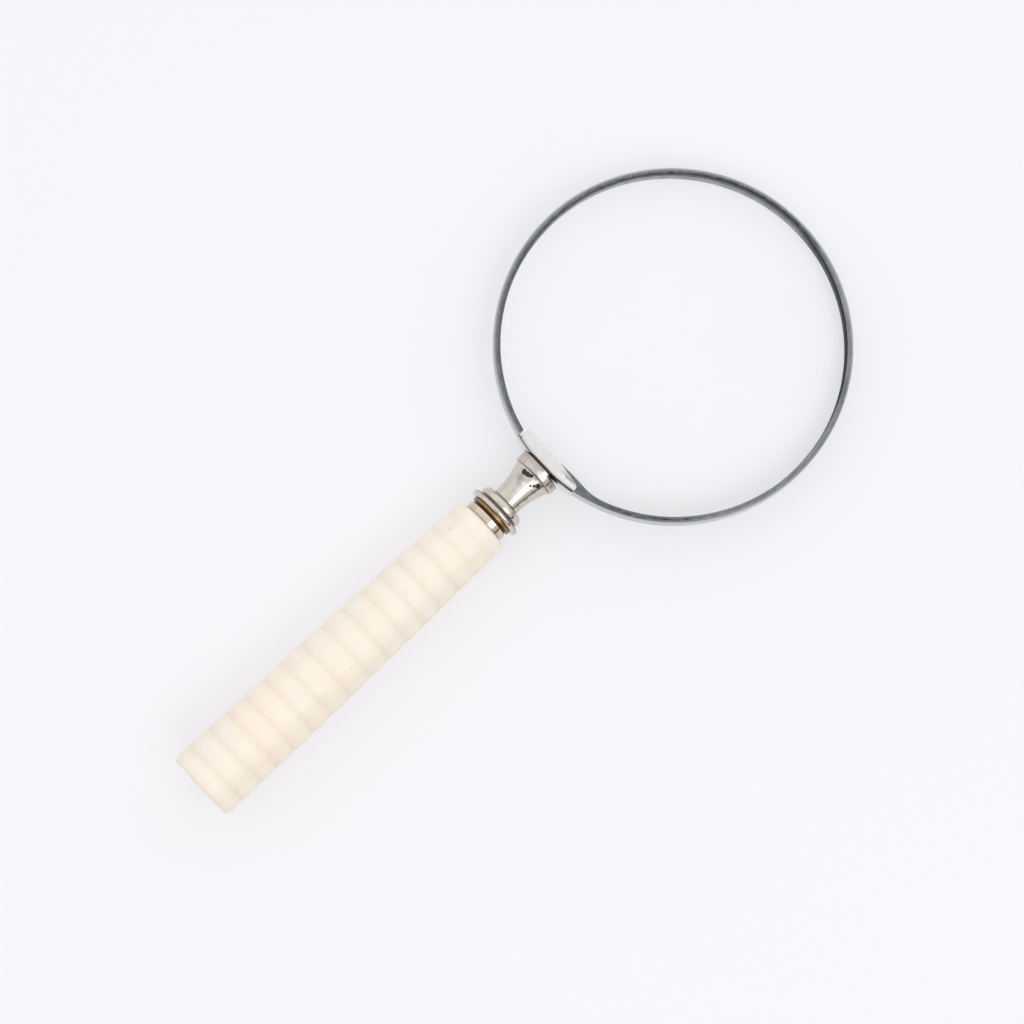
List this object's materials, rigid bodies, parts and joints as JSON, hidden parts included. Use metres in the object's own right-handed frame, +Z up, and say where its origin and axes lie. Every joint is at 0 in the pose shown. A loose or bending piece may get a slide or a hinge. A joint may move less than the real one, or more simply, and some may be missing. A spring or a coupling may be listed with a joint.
{
  "type": "magnifying glass",
  "caption": "Round magnifying lens in a thin steel rim, on a turned plated stem and a ribbed ivory-coloured handle, for reading and close inspection.",
  "frame": {"origin": "bottom centre of the bounding box, as the glass lies on a table", "axes": "+X along the handle from the butt towards the lens, +Z up from the table"},
  "size_m": [0.2292, 0.1, 0.0232],
  "materials": {
    "optical_glass": "clear, polished",
    "black_liner": "matt black strip",
    "rim_steel": "worn blue-grey steel strip",
    "screw_steel": "cut thread, lightly oiled",
    "nickel_plate": "warm, worn nickel plate",
    "brass": "tarnished brass",
    "ivory": "ivory-coloured, turned and softly polished"
  },
  "bodies": {
    "head": {"lens": "optical_glass", "lens_liner": "black_liner", "rim_band": "rim_steel", "rim_stud_left": "screw_steel", "rim_stud_right": "screw_steel", "saddle": "nickel_plate", "saddle_boss": "nickel_plate", "stem_neck": "nickel_plate", "flange_collar": "nickel_plate", "tang_rod": "screw_steel"},
    "spacer": {"spacer_ring": "brass"},
    "handle": {"handle_ferrule": "nickel_plate", "tang_bush": "brass", "handle_grip": "ivory"}
  },
  "joints": [
    {"name": "thread_travel", "type": "slide", "parent": "head", "child": "spacer", "axis": [-0.9993, 0, 0.0382], "range_m": [0, 0.008]},
    {"name": "handle_unscrew", "type": "hinge", "parent": "spacer", "child": "handle", "pos_m": [-0.00797, 0, 0.00864], "axis": [-0.9993, 0, 0.0382], "range_deg": [0, 3600]}
  ],
  "couplings": [
    {"joint": "handle_unscrew", "follows": "thread_travel", "rad_per_m": 7854}
  ]
}
